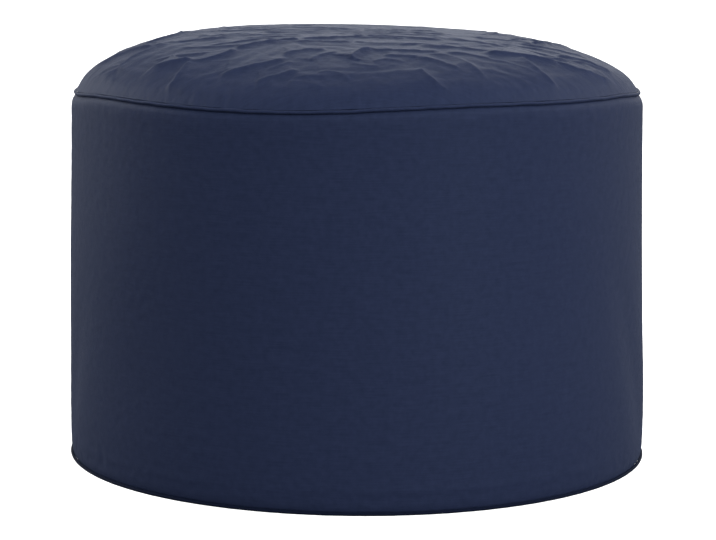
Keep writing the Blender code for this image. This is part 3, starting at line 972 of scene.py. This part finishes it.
def makeBase():
    rootRadius = bag["bottomSeamRadius"] - bag["rootInset"]
    footRadius = rootRadius - base["turnRadius"]
    rootHeight = bag["bottomSeamHeight"] - bag["gap"] / 2
    bedRadius = bag["bottomSeamRadius"] - bag["bedInset"]
    levels = [
        (0.0, 0.12), (0.0, 0.2), (0.0, footRadius - 0.004), (0.0, footRadius - 0.001),
        (0.0001, footRadius),
        (rootHeight * 0.4, rootRadius - 0.0003), (rootHeight, rootRadius),
        (bag["bottomSeamHeight"] + bag["bedDrop"] - bag["gap"] / 2, bedRadius),
    ]
    mesh = lathed(levels, base["sides"])
    bmesh.ops.holes_fill(mesh, edges=mesh.edges, sides=0)
    bmesh.ops.recalc_face_normals(mesh, faces=mesh.faces)
    piece = newPiece("basePanel", mesh)
    clothPlaces(piece.data, flatPlace)
    finished(piece, panelCloth, "bottom_panel")
    return piece


def makeWelt(name, radius, height, follow, seed, material, nodeName):
    mesh = bmesh.new()
    upright = Matrix.Translation((radius, 0.0, height)) @ Matrix.Rotation(math.pi / 2, 4, "X")
    made = bmesh.ops.create_circle(mesh, segments=welt["sides"], radius=welt["radius"], matrix=upright)
    bmesh.ops.spin(
        mesh, geom=made["verts"] + list(mesh.edges), axis=(0, 0, 1), cent=(0, 0, 0),
        angle=math.tau, steps=welt["steps"], use_merge=True, use_duplicate=False,
    )
    bmesh.ops.recalc_face_normals(mesh, faces=mesh.faces)
    piece = newPiece(name, mesh)
    points = readPoints(piece.data)
    reach = np.linalg.norm(points[:, :2], axis=1)
    azimuth = np.arctan2(points[:, 1], points[:, 0])
    out, up = reach - radius, points[:, 2] - height
    around = np.arctan2(up, out)

    def biasPlace(points, middles):
        # cut on the bias, so the threads run across it at a slant
        turn = np.arctan2(middles[:, 1], middles[:, 0])
        length = (turn + turnBack(np.arctan2(points[:, 1], points[:, 0]) - turn)) * radius
        tilt = np.arctan2(middles[:, 2] - height, np.hypot(middles[:, 0], middles[:, 1]) - radius)
        over = np.arctan2(points[:, 2] - height, np.hypot(points[:, 0], points[:, 1]) - radius)
        girth = (tilt + turnBack(over - tilt)) * welt["radius"]
        return (length - girth) * welt["slant"], (length + girth) * welt["slant"]

    clothPlaces(piece.data, biasPlace)

    # a cord in hand-sewn cloth is never quite even
    swell = 1 + ringNoise(azimuth + 0.02 * np.sin(around), seed, (37, 61, 97, 143, 211), welt["swell"])
    lift, draw = seamBend(azimuth)
    points[:, 0] = np.cos(azimuth) * (radius + out * swell - draw * follow)
    points[:, 1] = np.sin(azimuth) * (radius + out * swell - draw * follow)
    drift = ringNoise(azimuth, seed + 1, (9, 16, 25, 38, 57), welt["wobble"])
    points[:, 2] = height + up * swell + drift * follow + lift * follow
    writePoints(piece.data, points)
    finished(piece, material, nodeName)
    return piece


makeBase()
makeWelt("topSeamWelt", bag["topSeamRadius"], bag["seamHeight"], 1.0, 21, weltCloth, "top_welt")
# the lower welt wears the darker cloth, which carries painted shade
makeWelt(
    "bottomSeamWelt", bag["bottomSeamRadius"], bag["bottomSeamHeight"], 0.0, 31, weltPaintedShadeCloth, "bottom_welt"
)
print("base and welts made")


# Floor, light and camera
studio = {
    "floorSize": 60.0,
    "floorColour": (0.92, 0.92, 0.92, 1.0),
    "floorBounce": (0.2, 0.2, 0.2, 1.0),
    "floorGlow": 1.2,
    # brightness of the white surround in front of the bag, behind it and above it
    "front": 0.595,
    "back": 0.585,
    "above": 0.528,
    # place, aim, width, height, watts
    "lamps": {
        "backMid": ((0.2, 2.4, 1.0), (0.0, 0.0, 0.3), 1.4, 0.8, 3.0),
        "edgeLeft": ((-2.2, 0.9, 1.1), (-0.2, 0.0, 0.3), 0.8, 1.0, 12.6),
        "edgeRight": ((2.2, 0.9, 1.1), (0.2, 0.0, 0.3), 0.8, 1.0, 4.9),
        "sideRight": ((2.1, -0.1, 1.7), (0.0, 0.0, 0.3), 0.8, 1.0, 3.0),
        "frontRight": ((1.8, -1.9, 1.1), (0.0, 0.0, 0.2), 1.0, 1.0, 18.4),
        "front": ((0.3, -2.2, 2.0), (0.0, 0.0, 0.2), 1.0, 0.9, 4.4),
    },
}
view = {
    "place": (0.0, -2.2577, 0.5097),
    "pitchDown": 0.1540,
    "roll": 0.0072,
    "lens": 130.38,
}


def makeFloor():
    mesh = bmesh.new()
    bmesh.ops.create_grid(mesh, x_segments=2, y_segments=2, size=studio["floorSize"] / 2)
    floor = newPiece("studioFloor", mesh)
    material = bpy.data.materials.new("palePaper")
    material.use_nodes = True
    tree = material.node_tree
    shader = tree.nodes["Principled BSDF"]
    # white paper to the eye, but it throws less light back on the bag
    rays = addNode(tree, "ShaderNodeLightPath")
    colour = addNode(tree, "ShaderNodeMix", data_type="RGBA")
    colour.inputs["A"].default_value = studio["floorBounce"]
    colour.inputs["B"].default_value = studio["floorColour"]
    wire(tree, rays.outputs["Is Camera Ray"], colour.inputs["Factor"])
    wire(tree, colour.outputs["Result"], shader.inputs["Base Color"])
    glow = math2(tree, "MULTIPLY", rays.outputs["Is Camera Ray"], studio["floorGlow"])
    wire(tree, glow, shader.inputs["Emission Strength"])
    shader.inputs["Emission Color"].default_value = (1.0, 1.0, 1.0, 1.0)
    shader.inputs["Roughness"].default_value = 0.9
    shader.inputs["Specular IOR Level"].default_value = 0.1
    floor.data.materials.append(material)
    return floor


def makeLamps():
    for name, (place, aim, width, height, watts) in studio["lamps"].items():
        light = bpy.data.lights.new(name, "AREA")
        light.shape = "RECTANGLE"
        light.size = width
        light.size_y = height
        light.energy = watts
        lamp = bpy.data.objects.new(name, light)
        lamp.location = place
        lamp.rotation_euler = (Vector(aim) - Vector(place)).to_track_quat("-Z", "Y").to_euler()
        bpy.context.scene.collection.objects.link(lamp)


def makeWorld():
    # white to the camera, softer as light and brightest behind the bag
    world = bpy.data.worlds.new("studio")
    world.use_nodes = True
    tree = world.node_tree
    background = tree.nodes["Background"]
    place = addNode(tree, "ShaderNodeTexCoord")
    parts = addNode(tree, "ShaderNodeSeparateXYZ")
    wire(tree, place.outputs["Generated"], parts.inputs[0])

    def blendFrom(source, low, high):
        share = addNode(tree, "ShaderNodeMapRange", interpolation_type="SMOOTHSTEP")
        share.inputs["From Min"].default_value = low
        share.inputs["From Max"].default_value = high
        wire(tree, source, share.inputs["Value"])
        return share.outputs["Result"]

    def mixed(factor, first, second):
        mix = addNode(tree, "ShaderNodeMix", data_type="FLOAT")
        wire(tree, factor, mix.inputs["Factor"])
        for socket, value in ((mix.inputs["A"], first), (mix.inputs["B"], second)):
            if isinstance(value, float):
                socket.default_value = value
            else:
                wire(tree, value, socket)
        return mix.outputs["Result"]

    around = mixed(blendFrom(parts.outputs["Y"], -0.2, 0.9), studio["front"], studio["back"])
    dome = mixed(blendFrom(parts.outputs["Z"], 0.2, 0.95), around, studio["above"])
    rays = addNode(tree, "ShaderNodeLightPath")
    wire(tree, mixed(rays.outputs["Is Camera Ray"], dome, 1.2), background.inputs["Strength"])
    background.inputs["Color"].default_value = (1.0, 1.0, 1.0, 1.0)
    bpy.context.scene.world = world


def makeCamera():
    lens = bpy.data.cameras.new("photoView")
    lens.lens = view["lens"]
    lens.sensor_width = 36.0
    lens.sensor_fit = "HORIZONTAL"
    lens.clip_end = 50.0
    camera = bpy.data.objects.new("photoView", lens)
    tilt = Matrix.Rotation(math.pi / 2 - view["pitchDown"], 4, "X")
    roll = Matrix.Rotation(view["roll"], 4, "Z")
    camera.matrix_world = Matrix.Translation(view["place"]) @ tilt @ roll
    bpy.context.scene.collection.objects.link(camera)
    bpy.context.scene.camera = camera


makeFloor()
makeLamps()
makeWorld()
makeCamera()
bpy.context.scene.view_settings.view_transform = "Standard"
print("studio made")
